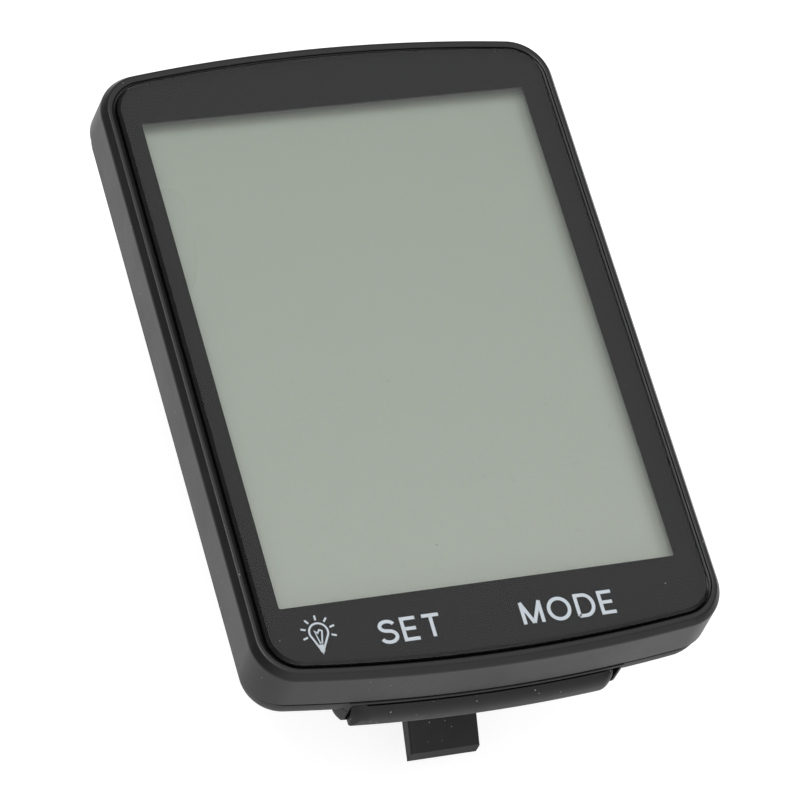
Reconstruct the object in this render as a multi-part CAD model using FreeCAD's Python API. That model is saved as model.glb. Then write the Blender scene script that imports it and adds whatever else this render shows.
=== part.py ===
import FreeCAD, Part
import math
import os

# Cycling computer: a slim head unit with a large display, latched on a handlebar bracket.
# Millimetres. X runs across the display, Y towards its top, Z out of its face.
# Z = 0 is the foot of the bracket's rubber pad, and X = Y = 0 is the middle of the whole outline.

# ---- head unit, outline seen from the front ----
bodyHalf = 26.1          # half width at the line where the shells meet
bodyTop = 38.35          # Y of the upper end, on the middle line
bodyBottom = -37.35      # Y of the lower end, on the middle line
bodyCorner = 4.5
bodyBow = 178.0          # radius of the slightly bowed ends
wall = 1.5

# ---- head unit, heights ----
backZ = 17.0             # flat back of the rear shell
partingZ = 22.3          # middle of the groove between the two shells
partingGap = 0.15
creaseZ = 27.6           # where the wall turns into the bevel below the rim
rimZ = 28.5              # flat top of the rim around the lens
lensTopZ = 29.0
lensThick = 1.8
tapeThick = 0.15
maskThick = 0.08
webThick = 1.15          # ledge that the lens is taped to
roundingSteps = 7        # sections that the rounding is lofted through
backRise = 5.2           # height of the rounding from the side wall to the back
backRun = 4.6            # and its width
rearInset = 0.32         # the rear shell's sides stand back by this much
rearWall = 1.3

# ---- outlines of the front shell: half width, top Y, bottom Y, corner radius ----
creaseOutline = (26.03, 38.2, -37.2, 4.8)
rimOutline = (25.5, 37.7, -36.7, 4.5)
lensWellOutline = (25.0, 36.94, -36.12, 4.1)

# ---- lens and display ----
lensHalf = 24.53
lensTop = 36.53
lensBottom = -35.86
lensCorner = 3.7
lensBow = 190.0
lensChamfer = 0.3
windowHalf = 22.0        # visible part of the display
windowTop = 30.72
windowBottom = -27.78
glassHalf = 23.2
glassTop = 31.6
glassBottom = -30.4
ledgeDepth = 2.0         # contact ledge at the lower end of the front glass
frontGlassThick = 0.85
rearGlassThick = 1.0
backlightThick = 1.3
boardThick = 0.9
boardTopZ = 22.05

# ---- key bar at the lower end ----
keyHalf = 14.7
keyNose = -38.33         # Y of the foremost point, on the middle line
keyLowZ = 18.5
keyHighZ = 21.7
keyCreaseZ = 21.25
keyPivotY = -34.6
keyPinR = 0.75
runningGap = 0.05
switchX = 7.5
bossHalf = 16.0
frameTopZ = 20.45
pocketBackY = -33.0
pocketWall = 1.4

# ---- battery bay ----
cellR = 10.0
cellThick = 3.2
cellY = 19.0
coverR = 11.4
coverLowZ = 16.2
coverTopZ = 17.5
bayR = 11.6
lugR = 12.25

# ---- bayonet shoe on the back, and the bracket ----
shoeHalf = 7.0
shoeLowZ = 13.9
shoeFrontY = -14.0
shoeRearY = 5.6
lugHalf = 10.0
lugLength = 5.6
lugStarts = (-12.8, 0.0)
lugHighZ = 15.4
barR = 15.9              # 31.8 mm handlebar
padThick = 1.5
padHalf = 13.0
barAxisZ = -9.1
baseHalfX = 14.0
baseHalfY = 16.5
baseTopZ = 13.7
railHighZ = 16.75
slideGap = 0.2

# ---- release lever ----
leverHalf = 3.95
leverPivotY = 2.0
leverPivotZ = 11.2
leverPinR = 0.7
leverHubR = 1.5
tabEndY = -36.5
tabLowZ = 3.87
tabTopZ = 5.67
tabBendY = -31.5         # from here the tab slopes down more steeply
tabBendZ = 8.5
tabBendThick = 2.1
armBendY = -15.5
armBendRound = 3.0
tabEdgeRound = 0.3
catchTopZ = 14.55
catchApexY = -8.0
catchFlat = 0.8
catchSlope = 0.19
springY = -10.6           # where the strip starts to bend
springHalf = 2.0
springStrip = 0.3
springBendR = 0.8
springFoot = 3.6
springFloorZ = 7.0       # floor of the slot where the spring stands
leverArmLowZ = 10.2
leverArmTopZ = 12.2


def vec(x, y, z):
    return FreeCAD.Vector(x, y, z)


def box(x0, x1, y0, y1, z0, z1):
    return Part.makeBox(x1 - x0, y1 - y0, z1 - z0, vec(x0, y0, z0))


def postZ(x, y, radius, z0, z1):
    return Part.makeCylinder(radius, z1 - z0, vec(x, y, z0))


def rodX(y, z, radius, x0, x1):
    return Part.makeCylinder(radius, x1 - x0, vec(x0, y, z), vec(1, 0, 0))


def endArc(halfWidth, endY, bow, corner, side):
    """Centre of the bowed end and of its right corner; side is +1 at the top, -1 at the bottom."""
    centreY = endY - side * bow
    cornerX = halfWidth - corner
    cornerY = centreY + side * math.sqrt((bow - corner) ** 2 - cornerX ** 2)
    return centreY, cornerX, cornerY


def bowedWire(halfWidth, topY, bottomY, corner, bow, z):
    """Closed outline with straight sides, bowed ends and tangent corners."""
    edges = []
    ends = []
    for side, endY in ((1, topY), (-1, bottomY)):
        centreY, cx, cy = endArc(halfWidth, endY, bow, corner, side)
        angle = math.atan2(abs(cy - centreY), cx)
        touchX = cx + corner * math.cos(angle)
        touchY = cy + side * corner * math.sin(angle)
        half = angle / 2
        midX = cx + corner * math.cos(half)
        midY = cy + side * corner * math.sin(half)
        ends.append((cy, touchX, touchY, midX, midY, endY))
    (topSide, tx, ty, tmx, tmy, tEnd), (lowSide, bx, by, bmx, bmy, bEnd) = ends
    edges.append(Part.LineSegment(vec(halfWidth, lowSide, z), vec(halfWidth, topSide, z)))
    edges.append(Part.Arc(vec(halfWidth, topSide, z), vec(tmx, tmy, z), vec(tx, ty, z)))
    edges.append(Part.Arc(vec(tx, ty, z), vec(0, tEnd, z), vec(-tx, ty, z)))
    edges.append(Part.Arc(vec(-tx, ty, z), vec(-tmx, tmy, z), vec(-halfWidth, topSide, z)))
    edges.append(Part.LineSegment(vec(-halfWidth, topSide, z), vec(-halfWidth, lowSide, z)))
    edges.append(Part.Arc(vec(-halfWidth, lowSide, z), vec(-bmx, bmy, z), vec(-bx, by, z)))
    edges.append(Part.Arc(vec(-bx, by, z), vec(0, bEnd, z), vec(bx, by, z)))
    edges.append(Part.Arc(vec(bx, by, z), vec(bmx, bmy, z), vec(halfWidth, lowSide, z)))
    return Part.Wire([e.toShape() for e in edges])


def bowedPlate(halfWidth, topY, bottomY, corner, bow, z0, z1):
    face = Part.Face(bowedWire(halfWidth, topY, bottomY, corner, bow, z0))
    return face.extrude(vec(0, 0, z1 - z0))


def bodyPlate(inset, z0, z1):
    corner = max(bodyCorner - inset, 0.8)
    return bowedPlate(bodyHalf - inset, bodyTop - inset, bodyBottom + inset, corner, bodyBow - inset, z0, z1)


def outlineWire(outline, z):
    halfWidth, topY, bottomY, corner = outline
    return bowedWire(halfWidth, topY, bottomY, corner, bodyBow, z)


def rearSkin(inset, z0, z1, rise, run):
    """Plate whose lower edge is rounded all round, the rounding rise high and run wide."""
    wires = []
    for step in range(roundingSteps + 1):
        angle = math.pi / 2 * step / roundingSteps
        back = inset + run * (1 - math.cos(angle))
        corner = max(bodyCorner - back * 0.7, 1.0)
        wires.append(bowedWire(bodyHalf - rearInset - back, bodyTop - back, bodyBottom + back, corner,
                               bodyBow - back, z0 + rise * (1 - math.sin(angle))))
    shape = Part.makeLoft(wires, True, False)
    if z1 > z0 + rise + 0.001:
        straight = Part.Face(wires[0]).extrude(vec(0, 0, z1 - z0 - rise))
        shape = shape.fuse(straight)
    return shape


def lensPlate(grow, z0, z1):
    return bowedPlate(lensHalf + grow, lensTop + grow, lensBottom - grow, lensCorner + grow,
                      lensBow + grow, z0, z1)


def roundedBox(x0, x1, y0, y1, z0, z1, radius):
    """Box whose four upright edges are rounded."""
    shape = box(x0, x1, y0, y1, z0, z1)
    upright = [e for e in shape.Edges if abs(e.tangentAt(e.FirstParameter).z) > 0.9]
    return shape.makeFillet(radius, upright)


def edgesAtZ(shape, z, tolerance=0.01):
    return [e for e in shape.Edges
            if abs(e.BoundBox.ZMin - z) < tolerance and abs(e.BoundBox.ZMax - z) < tolerance]


def prismX(points, x0, x1):
    """Flat outline given in Y and Z, extruded along X."""
    corners = [vec(x0, y, z) for y, z in points]
    face = Part.Face(Part.makePolygon(corners + [corners[0]]))
    return face.extrude(vec(x1 - x0, 0, 0))


def screwSpots():
    return [(sx * 20.5, y) for y in (34.0, -33.1) for sx in (1, -1)]


def frameScrewSpots():
    return [(12.6, -29.6), (-12.6, -29.6)]


# ---------------- head unit: shells and window ----------------

def frontShell():
    z0 = partingZ + partingGap / 2
    partingWire = bowedWire(bodyHalf, bodyTop, bodyBottom, bodyCorner, bodyBow, z0)
    creaseWire = outlineWire(creaseOutline, creaseZ)
    wallPart = Part.makeLoft([partingWire, creaseWire], True, True)
    bevelPart = Part.makeLoft([creaseWire, outlineWire(rimOutline, rimZ)], True, True)
    shape = wallPart.fuse(bevelPart)
    seatZ = lensTopZ - lensThick - maskThick - tapeThick
    webLowZ = seatZ - webThick
    well = Part.Face(outlineWire(lensWellOutline, seatZ)).extrude(vec(0, 0, rimZ + 1 - seatZ))
    shape = shape.cut(well)
    shape = shape.cut(bodyPlate(wall, z0 - 1, webLowZ))
    opening = roundedBox(-windowHalf - 0.6, windowHalf + 0.6, windowBottom - 0.6, windowTop + 0.6,
                         webLowZ - 1, seatZ + 1, 0.8)
    shape = shape.cut(opening)
    posts = [postZ(x, y, 1.75, z0, webLowZ) for x, y in screwSpots()]
    ribs = [box(min(x, x * 1.2), max(x, x * 1.2), y - 0.4, y + 0.4, z0 + 1.0, webLowZ) for x, y in screwSpots()]
    inside = bodyPlate(wall - 0.2, z0, webLowZ + 0.2)
    for extra in posts + ribs:
        shape = shape.fuse(extra.common(inside))
    for x, y in screwSpots():
        shape = shape.cut(postZ(x, y, 0.7, z0 - 1, webLowZ - 0.4))
    return shape.removeSplitter()


def lens():
    shape = lensPlate(0, lensTopZ - lensThick, lensTopZ)
    return shape.makeChamfer(lensChamfer, edgesAtZ(shape, lensTopZ))


def maskPrint():
    topZ = lensTopZ - lensThick
    shape = lensPlate(-0.25, topZ - maskThick, topZ)
    window = box(-windowHalf, windowHalf, windowBottom, windowTop, topZ - 1, topZ + 1)
    return shape.cut(window)


def legendPrint():
    """Three printed legends, set into the mask from below as thin plates."""
    z1 = lensTopZ - lensThick - maskThick
    spans = ((-20.6, -16.8), (-11.0, -4.4), (4.5, 14.5))
    plates = [box(x0, x1, -33.2, -30.0, z1 - 0.05, z1) for x0, x1 in spans]
    return Part.makeCompound(plates)


def lensTape():
    z1 = lensTopZ - lensThick - maskThick
    frame = lensPlate(-0.35, z1 - tapeThick, z1)
    hole = box(-windowHalf - 0.7, windowHalf + 0.7, windowBottom - 0.7, windowTop + 0.7, z1 - 1, z1 + 1)
    legends = box(-22.0, 16.5, -33.6, -29.6, z1 - 1, z1 + 1)
    return frame.cut(hole).cut(legends)


def lcdTopZ():
    return lensTopZ - lensThick - maskThick - tapeThick - webThick - 0.05


def lcdPanel():
    z1 = lcdTopZ()
    z0 = z1 - frontGlassThick
    front = box(-glassHalf, glassHalf, glassBottom, glassTop, z0, z1)
    rear = box(-glassHalf, glassHalf, glassBottom + ledgeDepth, glassTop, z0 - rearGlassThick, z0)
    return front.fuse(rear).removeSplitter()


def backlightTopZ():
    return lcdTopZ() - frontGlassThick - rearGlassThick - 0.05


def backlightPlate():
    z1 = backlightTopZ()
    shape = box(-glassHalf + 0.4, glassHalf - 0.4, glassBottom + ledgeDepth + 0.3, glassTop - 0.5,
                z1 - backlightThick, z1)
    for x in (-14.0, 0.0, 14.0):
        shape = shape.cut(box(x - 1.6, x + 1.6, glassTop - 1.6, glassTop, z1 - 2, z1 + 1))
    return shape


def backlightLeds():
    z1 = backlightTopZ()
    leds = [box(x - 1.4, x + 1.4, glassTop - 1.5, glassTop - 0.6, z1 - backlightThick + 0.1, z1 - 0.2)
            for x in (-14.0, 0.0, 14.0)]
    return Part.makeCompound(leds)


def lcdTray():
    """Shallow tray that holds the display and its light plate against the ledge."""
    z1 = lcdTopZ()
    z0 = boardTopZ + 0.05
    outer = box(-glassHalf - 1.0, glassHalf + 1.0, glassBottom - 0.6, glassTop + 0.6, z0, z1)
    inner = box(-glassHalf - 0.1, glassHalf + 0.1, glassBottom - 0.1, glassTop + 0.1, z0 + 0.3, z1 + 1)
    shape = outer.cut(inner)
    strip = box(-glassHalf + 0.8, glassHalf - 0.8, glassBottom - 0.1, glassBottom + ledgeDepth, z0 - 1, z1)
    relief = box(-16.0, 16.0, -20.0, 24.0, z0 - 1, z0 + 0.5)
    return shape.cut(strip).cut(relief)


def zebraStrip():
    z1 = lcdTopZ() - frontGlassThick
    return box(-glassHalf + 1.2, glassHalf - 1.2, glassBottom + 0.25, glassBottom + ledgeDepth - 0.25,
               boardTopZ, z1)


def rearShell():
    z1 = partingZ - partingGap / 2
    shape = rearSkin(0, backZ, z1, backRise, backRun)
    shape = shape.cut(rearSkin(rearWall, backZ + 1.4, z1 + 1, backRise - 1.4, backRun - 1.0))
    # blocks inside that carry the key pocket, its frame and the screws
    inside = rearSkin(0.6, backZ + 0.6, z1, backRise - 0.6, backRun - 0.4)
    blocks = [
        box(-bossHalf - 1.6, bossHalf + 1.6, bodyBottom, pocketBackY + pocketWall, backZ + 1.0, z1),
        box(-bossHalf, bossHalf, pocketBackY, -25.6, backZ + 1.0, backZ + 2.45),
    ]
    blocks += [postZ(x, y, 1.5, backZ + 1.0, boardTopZ - boardThick - 0.1) for x, y in frameScrewSpots()]
    blocks += [postZ(x, y, 2.4, backZ + 1.0, 20.6) for x, y in screwSpots()]
    blocks += [postZ(x, y, 1.7, backZ + 1.0, z1) for x, y in screwSpots()]
    blocks.append(postZ(0, cellY, bayR + 1.6, backZ, 19.4))
    blocks.append(postZ(0, cellY, 13.0, backZ - 0.8, backZ + 0.5))
    for block in blocks[:-2]:
        shape = shape.fuse(block.common(inside))
    for block in blocks[-2:]:
        shape = shape.fuse(block)
    # boss at the lower end, bowed like the body
    boss = bossPlate(frameTopZ + 0.1, z1)
    shape = shape.fuse(boss)
    # shoe with two bayonet lugs on each side
    shoe = roundedBox(-shoeHalf, shoeHalf, shoeFrontY, shoeRearY, shoeLowZ, backZ + 0.5, 1.0)
    shape = shape.fuse(shoe)
    for y in lugStarts:
        shape = shape.fuse(box(-lugHalf, lugHalf, y, y + lugLength, shoeLowZ, lugHighZ))
    shape = shape.cut(catchNotch())
    # openings
    shape = shape.cut(keyPocket(backZ - 1))
    shape = shape.cut(frameSeat())
    for sx in (1, -1):
        hole = Part.makeCylinder(1.5, 3.0, vec(sx * switchX, pocketBackY - 0.5, 20.1), vec(0, 1, 0))
        shape = shape.cut(hole)
    shape = shape.cut(postZ(0, keyPivotY, keyPinR + 0.02, 21.0, 22.15))
    shape = shape.cut(postZ(0, cellY, bayR, backZ - 2, 20.0))
    shape = shape.cut(postZ(0, cellY, lugR + 0.2, coverTopZ, 18.45))
    for angle in (120, 300):
        shape = shape.cut(bayNotch(angle))
    for x, y in screwSpots():
        shape = shape.cut(postZ(x, y, 1.65, backZ - 2, 19.0))
        shape = shape.cut(postZ(x, y, 0.85, backZ, z1 + 1))
    for x, y in frameScrewSpots():
        shape = shape.cut(postZ(x, y, 0.6, backZ, boardTopZ - boardThick - 0.5))
    return shape.removeSplitter()


def bossPlate(z0, z1):
    """Boss outline: as wide as the key's housing, rounded corners, front bowed with the body."""
    slab = bowedPlate(bodyHalf + 2, bodyTop, bodyBottom - 0.1, bodyCorner, bodyBow, z0, z1)
    limit = roundedBox(-bossHalf, bossHalf, bodyBottom - 0.1, pocketBackY + 0.5, z0, z1, 2.4)
    return slab.common(limit)


def keyPocket(z0):
    """Space that the key bar swings in, open to the lower end."""
    return box(-keyHalf - 0.3, keyHalf + 0.3, bodyBottom - 4, pocketBackY, keyLowZ - 0.2, keyHighZ + 0.15)


def frameSeat():
    """Space in the rear shell that the key frame fills."""
    wide = box(-bossHalf - 0.06, bossHalf + 0.06, bodyBottom - 4, pocketBackY + 0.1, backZ - 1, frameTopZ + 0.1)
    tongue = box(-14.7, 14.7, pocketBackY - 1, -26.9, backZ - 1, backZ + 1.25)
    return wide.fuse(tongue)


def bayNotch(angle):
    notch = box(bayR - 1.0, lugR + 0.2, -2.6, 2.6, backZ - 1, coverTopZ + 0.1)
    notch.rotate(vec(0, 0, 0), vec(0, 0, 1), angle)
    notch.translate(vec(0, cellY, 0))
    return notch


def catchNotch():
    y0 = catchApexY - (catchTopZ - shoeLowZ) / catchSlope - 0.5
    return box(-3.5, 3.5, y0, catchApexY + catchFlat + 0.5, shoeLowZ - 1, catchTopZ + 0.35)


def shellSeal():
    z0 = partingZ - partingGap / 2
    z1 = partingZ + partingGap / 2
    ring = bodyPlate(0.4, z0, z1).cut(bodyPlate(1.3, z0 - 1, z1 + 1))
    return ring


def shellScrews():
    solids = []
    for x, y in screwSpots():
        head = postZ(x, y, 1.45, 18.0, 19.0)
        head = head.makeChamfer(0.2, edgesAtZ(head, 18.0))
        shank = postZ(x, y, 0.68, 19.0, 25.0)
        screw = head.fuse(shank)
        for turn in (0, 90):
            slot = box(-0.9, 0.9, -0.16, 0.16, 17.9, 18.5)
            slot.rotate(vec(0, 0, 0), vec(0, 0, 1), turn)
            slot.translate(vec(x, y, 0))
            screw = screw.cut(slot)
        solids.append(screw)
    return Part.makeCompound(solids)


# ---------------- head unit: inside ----------------

def mainBoard():
    z1 = boardTopZ
    z0 = z1 - boardThick
    shape = roundedBox(-23.4, 23.4, -30.5, 31.6, z0, z1, 1.5)
    shape = shape.common(bodyPlate(wall + 0.3, z0 - 1, z1 + 1))
    for x in (-19.0, 19.0):
        shape = shape.cut(postZ(x, -26.0, 1.0, z0 - 1, z1 + 1))
    return shape


def controllerChip():
    """Dome of black resin over the bonded chip, on the underside of the board."""
    z1 = boardTopZ - boardThick
    dome = Part.makeSphere(9.5, vec(9.5, -8.0, z1 + 8.3))
    return dome.common(box(0, 20, -18, 2, z1 - 3, z1))


def crystalCan():
    z1 = boardTopZ - boardThick
    can = roundedBox(15.5, 21.5, -20.0, -18.2, z1 - 1.7, z1, 0.85)
    return can


def receiverCoil():
    """Ferrite rod with its winding, which picks up the wheel sensor's signal."""
    z = boardTopZ - boardThick - 1.35
    rod = rodX(-18.5, z, 0.8, -18.5, -4.5)
    winding = rodX(-18.5, z, 1.3, -16.5, -6.5)
    return rod.fuse(winding)


def tactSwitch(sx):
    z1 = boardTopZ - boardThick
    body = box(sx * switchX - 2.1, sx * switchX + 2.1, -29.4, -26.4, z1 - 1.5, z1)
    plunger = Part.makeCylinder(0.65, 0.9, vec(sx * switchX, -30.2, z1 - 0.8), vec(0, 1, 0))
    return body.fuse(plunger)


def keyMembrane():
    """Silicone strip that seals the pocket and hands the key's push to the switches."""
    y0 = pocketBackY + pocketWall
    strip = box(-10.5, 10.5, y0, y0 + 0.4, 19.55, 21.05)
    for sx in (1, -1):
        strip = strip.fuse(Part.makeCylinder(0.6, 0.6, vec(sx * switchX, y0 + 0.4, 20.3), vec(0, 1, 0)))
    return strip


def coinCell():
    z0 = coverTopZ + 0.12
    cell = postZ(0, cellY, cellR, z0, z0 + cellThick)
    cell = cell.makeFillet(0.45, edgesAtZ(cell, z0))
    return cell


def batteryContact():
    """Sprung plate between the board and the cell's small face."""
    z1 = boardTopZ - boardThick
    plate = roundedBox(-4.0, 4.0, cellY - 6.0, cellY + 6.0, z1 - 0.15, z1, 1.2)
    return plate


def sideContact():
    """Strip beside the cell that touches its rim."""
    z1 = boardTopZ - boardThick
    strip = box(-2.4, 2.4, cellY + cellR + 0.08, cellY + cellR + 0.32, 19.5, z1)
    foot = box(-2.4, 2.4, cellY + cellR + 0.08, cellY + cellR + 1.4, z1 - 0.24, z1)
    return strip.fuse(foot)


def batteryCover():
    disc = postZ(0, cellY, coverR, coverLowZ, coverTopZ)
    disc = disc.makeFillet(0.25, edgesAtZ(disc, coverLowZ))
    groove = postZ(0, cellY, coverR + 1, 16.65, 17.15).cut(postZ(0, cellY, coverR - 0.5, 16, 18))
    disc = disc.cut(groove)
    for angle in (0, 180):
        lug = Part.makeCylinder(lugR, 0.6, vec(0, 0, coverTopZ), vec(0, 0, 1), 24)
        lug = lug.cut(postZ(0, 0, cellR + 0.3, coverTopZ - 1, coverTopZ + 2))
        lug.rotate(vec(0, 0, 0), vec(0, 0, 1), angle - 12)
        lug.translate(vec(0, cellY, 0))
        neck = Part.makeCylinder(coverR, 0.7, vec(0, 0, coverTopZ - 0.1), vec(0, 0, 1), 24)
        neck = neck.cut(postZ(0, 0, cellR + 0.3, coverTopZ - 1, coverTopZ + 2))
        neck.rotate(vec(0, 0, 0), vec(0, 0, 1), angle - 12)
        neck.translate(vec(0, cellY, 0))
        disc = disc.fuse(lug).fuse(neck)
    disc = disc.cut(roundedBox(-6.5, 6.5, cellY - 0.9, cellY + 0.9, coverLowZ - 1, coverLowZ + 0.85, 0.85))
    disc = disc.cut(postZ(0, cellY - 8.6, 0.6, coverLowZ - 1, coverLowZ + 0.3))
    return disc.removeSplitter()


def coverSeal():
    ring = postZ(0, cellY, coverR + 0.12, 16.68, 17.12)
    return ring.cut(postZ(0, cellY, coverR - 0.48, 16, 18))


# ---------------- key bar ----------------

def keySection():
    """Section of the key on its middle line: scooped top, sharp crease, full front."""
    backY = keyPivotY + 0.4
    crease = vec(0, keyNose + 0.5, keyCreaseZ)
    belly = vec(0, keyNose, 19.3)
    low = vec(0, keyNose + 0.55, keyLowZ)
    scoopMid = vec(0, -37.05, 20.75)
    scoopEnd = vec(0, -36.25, keyHighZ)
    edges = [
        Part.Arc(crease, vec(0, keyNose + 0.13, 20.3), belly),
        Part.Arc(belly, vec(0, keyNose + 0.16, keyLowZ + 0.28), low),
        Part.LineSegment(low, vec(0, backY, keyLowZ)),
        Part.LineSegment(vec(0, backY, keyLowZ), vec(0, backY, keyHighZ)),
        Part.LineSegment(vec(0, backY, keyHighZ), scoopEnd),
        Part.Arc(scoopEnd, scoopMid, crease),
    ]
    return Part.Face(Part.Wire([e.toShape() for e in edges]))


def rockerKey():
    centreY = bodyBottom + bodyBow
    sweep = 12.0
    face = keySection()
    face.rotate(vec(0, centreY, 0), vec(0, 0, 1), -sweep / 2)
    bar = face.revolve(vec(0, centreY, 0), vec(0, 0, 1), sweep)
    plan = roundedBox(-keyHalf, keyHalf, keyNose - 0.2, keyPivotY + 0.5, keyLowZ - 1, keyHighZ + 1, 1.6)
    bar = bar.common(plan)
    front = box(-keyHalf, keyHalf, keyNose - 1, keyPivotY + 1, keyLowZ, keyHighZ + 2)
    corners = [e for e in front.Edges if abs(e.tangentAt(e.FirstParameter).y) > 0.9
               and abs(e.BoundBox.ZMin - keyLowZ) < 0.01]
    bar = bar.common(front.makeFillet(1.2, corners))
    hub = postZ(0, keyPivotY, 1.25, keyLowZ, keyHighZ)
    bar = bar.fuse(hub)
    for sx in (1, -1):
        stem = Part.makeCylinder(0.9, 2.25, vec(sx * switchX, keyPivotY + 0.3, 20.1), vec(0, 1, 0))
        bar = bar.fuse(stem)
    bar = bar.cut(postZ(0, keyPivotY, keyPinR + runningGap, keyLowZ - 1, keyHighZ + 1))
    return bar.removeSplitter()


def keyPin():
    return postZ(0, keyPivotY, keyPinR, 17.6, 22.1)


def keyFrame():
    """Lower half of the boss: floor and side cheeks of the key pocket, with a screwed tongue."""
    front = bossPlate(backZ, frameTopZ)
    front = front.common(box(-20, 20, bodyBottom - 2, pocketBackY - 0.05, backZ - 1, frameTopZ + 1))
    lowEdges = [e for e in edgesAtZ(front, backZ) if e.CenterOfMass.y < pocketBackY - 0.2]
    front = front.makeFillet(1.8, lowEdges)
    tongue = roundedBox(-14.6, 14.6, pocketBackY - 1.5, -27.0, backZ, backZ + 1.2, 1.2)
    shape = front.fuse(tongue)
    shape = shape.cut(keyPocket(backZ))
    shape = shape.cut(postZ(0, keyPivotY, keyPinR + 0.02, 17.5, 19.0))
    for x, y in frameScrewSpots():
        shape = shape.cut(postZ(x, y, 0.75, backZ - 1, backZ + 3))
        cone = Part.makeCone(1.35, 0.75, 0.6, vec(x, y, backZ + 0.1), vec(0, 0, 1))
        shape = shape.cut(cone).cut(postZ(x, y, 1.35, backZ - 1, backZ + 0.1))
    return shape.removeSplitter()


def frameScrews():
    solids = []
    for x, y in frameScrewSpots():
        head = Part.makeCone(1.25, 0.65, 0.6, vec(x, y, backZ + 0.12), vec(0, 0, 1))
        shank = postZ(x, y, 0.58, backZ + 0.3, 20.4)
        screw = head.fuse(shank)
        for turn in (0, 90):
            slot = box(-0.75, 0.75, -0.14, 0.14, backZ, backZ + 0.4)
            slot.rotate(vec(0, 0, 0), vec(0, 0, 1), turn)
            slot.translate(vec(x, y, 0))
            screw = screw.cut(slot)
        solids.append(screw)
    return Part.makeCompound(solids)


# ---------------- bracket ----------------

def saddleCylinder(radius, halfLength):
    return rodX(0, barAxisZ, radius, -halfLength, halfLength)


def bracketBase():
    shape = roundedBox(-baseHalfX, baseHalfX, -baseHalfY, baseHalfY, 0.3, baseTopZ, 3.0)
    shape = shape.makeFillet(1.2, edgesAtZ(shape, baseTopZ))
    flare = prismX([(-baseHalfY - 1, baseTopZ + 1), (baseHalfY + 1, baseTopZ + 1),
                    (baseHalfY - 0.5, 0), (-baseHalfY + 0.5, 0)], -baseHalfX - 1, baseHalfX + 1)
    shape = shape.common(flare)
    shape = shape.cut(saddleCylinder(barR + padThick, baseHalfX + 1))
    # rails: side walls, lips over the lugs, and a stop at the lower end
    for sx in (1, -1):
        inner, outer = lugHalf + slideGap, lugHalf + 3.2
        x0, x1 = sorted((sx * inner, sx * outer))
        wallBox = roundedBox(x0, x1, -15.0, 5.8, baseTopZ - 1.5, railHighZ, 0.6)
        shape = shape.fuse(wallBox)
        for y in lugStarts:
            x0, x1 = sorted((sx * (shoeHalf + slideGap), sx * (outer - 0.7)))
            shape = shape.fuse(box(x0, x1, y - 0.2, y + lugLength + 0.2, lugHighZ + slideGap, railHighZ))
        x0, x1 = sorted((sx * 4.6, sx * (outer - 0.7)))
        shape = shape.fuse(box(x0, x1, -15.5, shoeFrontY - slideGap, baseTopZ - 1.5, railHighZ - 0.4))
    # slot for the lever, its pin, and the tunnels for the straps
    for y1, floorZ in ((-14.6, 5.5), (-9.3, springFloorZ), (-4.5, 8.6), (5.0, 9.3)):
        shape = shape.cut(box(-leverHalf - 0.37, leverHalf + 0.37, -20, y1, floorZ, railHighZ + 1))
    shape = shape.cut(rodX(leverPivotY, leverPivotZ, leverPinR, -9.0, 9.0))
    for sx in (1, -1):
        x0, x1 = sorted((sx * 7.6, sx * 12.4))
        shape = shape.cut(box(x0, x1, -20, 20, 9.4, 10.4 + 0.4))
    return shape.removeSplitter()


def barPad():
    """Rubber pad in the saddle, cut flat where it stands."""
    pad = saddleCylinder(barR + padThick, padHalf).cut(saddleCylinder(barR, padHalf + 1))
    return pad.common(box(-20, 20, -30, 30, 0, 20))


def aboveArmLine(point):
    """True above the line half a millimetre under the straight run from the bend to the end."""
    slope = (leverArmTopZ - tabTopZ) / (armBendY - tabEndY)
    return point.z > tabTopZ + slope * (point.y - tabEndY) - 0.5


def releaseLever():
    """Tongue from the pivot under the shoe out past the lower end, with its ramped catch."""
    arm = prismX([
        (leverPivotY, leverArmTopZ),
        (armBendY, leverArmTopZ),
        (tabBendY, tabBendZ),
        (tabEndY, tabTopZ),
        (tabEndY, tabLowZ),
        (tabBendY + 0.3, tabBendZ - tabBendThick),
        (armBendY + 0.5, leverArmLowZ - 0.3),
        (armBendY + 0.9, leverArmLowZ),
        (leverPivotY, leverArmLowZ),
    ], -leverHalf, leverHalf)
    across = [e for e in arm.Edges if abs(e.tangentAt(e.FirstParameter).x) > 0.9]
    bends = [e for e in across if abs(e.CenterOfMass.y - tabBendY) < 0.5]
    bends += [e for e in across if abs(e.CenterOfMass.y - armBendY) < 0.1
              and e.CenterOfMass.z > leverArmTopZ - 0.1]
    arm = arm.makeFillet(armBendRound, bends)
    sides = [e for e in arm.Edges if abs(abs(e.CenterOfMass.x) - leverHalf) < 0.01]
    upper = [e for e in sides if e.CenterOfMass.y < armBendY - 0.1 and aboveArmLine(e.CenterOfMass)]
    arm = arm.makeFillet(tabEdgeRound, upper)
    hub = rodX(leverPivotY, leverPivotZ, leverHubR, -leverHalf, leverHalf)
    ramp = (catchTopZ - shoeLowZ) / catchSlope
    catch = prismX([
        (catchApexY + catchFlat, leverArmTopZ - 0.5),
        (catchApexY + catchFlat, catchTopZ),
        (catchApexY, catchTopZ),
        (catchApexY - ramp, shoeLowZ),
        (catchApexY - ramp - 0.4, leverArmTopZ - 0.5),
    ], -3.0, 3.0)
    shape = arm.fuse(hub).fuse(catch)
    shape = shape.cut(rodX(leverPivotY, leverPivotZ, leverPinR + runningGap, -10, 10))
    return shape.removeSplitter()


def leverPin():
    return rodX(leverPivotY, leverPivotZ, leverPinR, -8.8, 8.8)


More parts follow.
